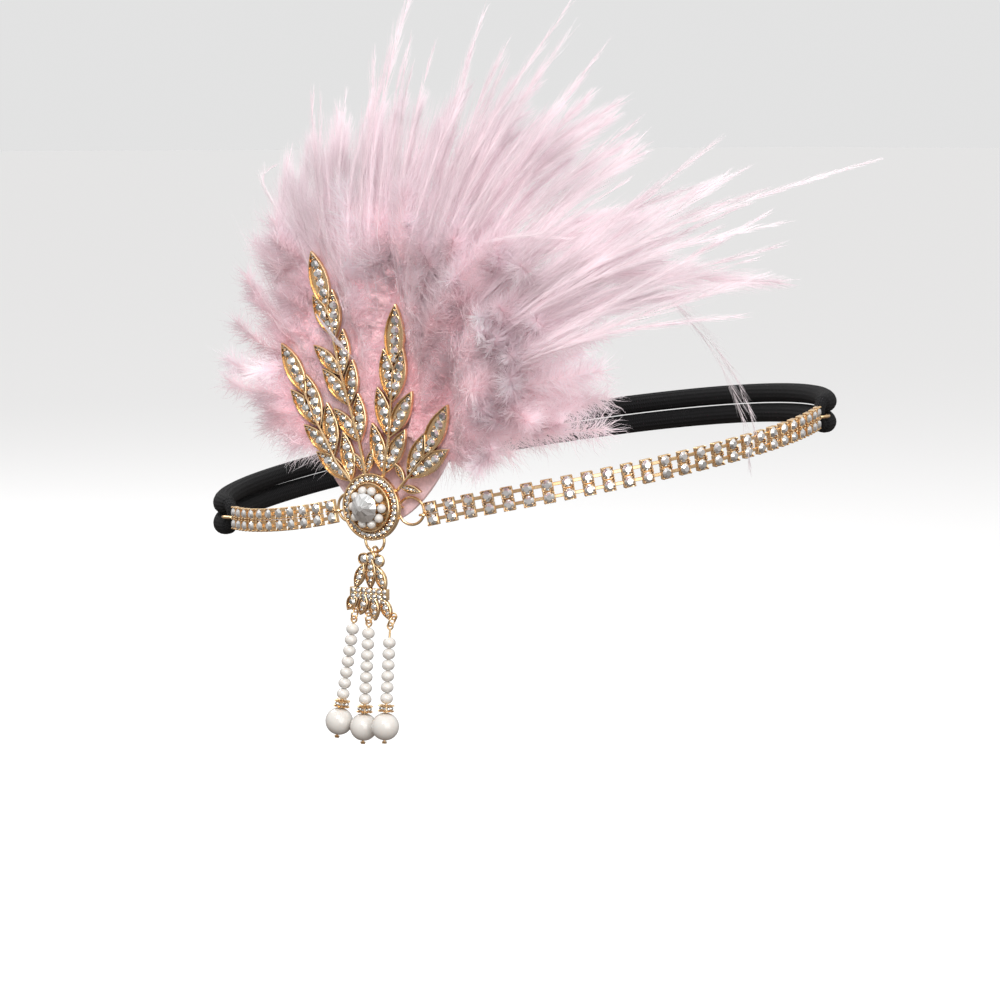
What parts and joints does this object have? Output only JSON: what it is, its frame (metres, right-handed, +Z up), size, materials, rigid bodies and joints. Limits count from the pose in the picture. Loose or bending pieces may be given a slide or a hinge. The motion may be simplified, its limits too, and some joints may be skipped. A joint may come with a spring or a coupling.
{
  "type": "feather headband",
  "caption": "Feather headband: rhinestone chain and elastic round the head, with a leaf spray, pearl medallion, pearl tassel and feather plume at the temple.",
  "frame": {"origin": "middle of the head loop, on the plane the band lies in at the middle of the head", "axes": "+Z up as worn, -Y toward the wearer's front, +X toward the wearer's left; the ornament sits at the right temple on -X"},
  "size_m": [0.1952, 0.2795, 0.2143],
  "materials": {
    "gilt": "polished pale gold with set clear stones",
    "crystal": "clear cut glass",
    "pearl": "warm white pearl",
    "rose_feather": "soft pink feather",
    "rose_felt": "matt pink felt",
    "black_elastic": "ribbed black knit"
  },
  "bodies": {
    "headband": {"felt_pad": "rose_felt", "feather_plume": "rose_feather", "leaf_spray": "gilt", "medallion_setting": "gilt", "centre_crystal": "crystal", "halo_pearl_01": "pearl", "halo_pearl_02": "pearl", "halo_pearl_03": "pearl", "halo_pearl_04": "pearl", "halo_pearl_05": "pearl", "halo_pearl_06": "pearl", "halo_pearl_07": "pearl", "halo_pearl_08": "pearl", "halo_pearl_09": "pearl", "halo_pearl_10": "pearl", "ring_front": "gilt", "ring_side": "gilt", "rhinestone_band_front": "gilt", "rhinestone_band_side": "gilt", "end_ring_front": "gilt", "end_ring_side": "gilt", "elastic_loop": "black_elastic", "pendant_ring": "gilt"},
    "pendant": {"pendant_drop": "gilt", "tassel_ring_1": "gilt", "tassel_ring_2": "gilt", "tassel_ring_3": "gilt", "pearl_string_1": "pearl", "pearl_string_2": "pearl", "pearl_string_3": "pearl", "rondelle_1": "gilt", "rondelle_2": "gilt", "rondelle_3": "gilt", "large_pearl_1": "pearl", "large_pearl_2": "pearl", "large_pearl_3": "pearl"}
  },
  "joints": [
    {"name": "pendant_swing", "type": "hinge", "parent": "headband", "child": "pendant", "pos_m": [-0.08154, -0.03076, -0.01939], "axis": [-0.309, 0.9511, 0], "range_deg": [-10, 50]}
  ]
}
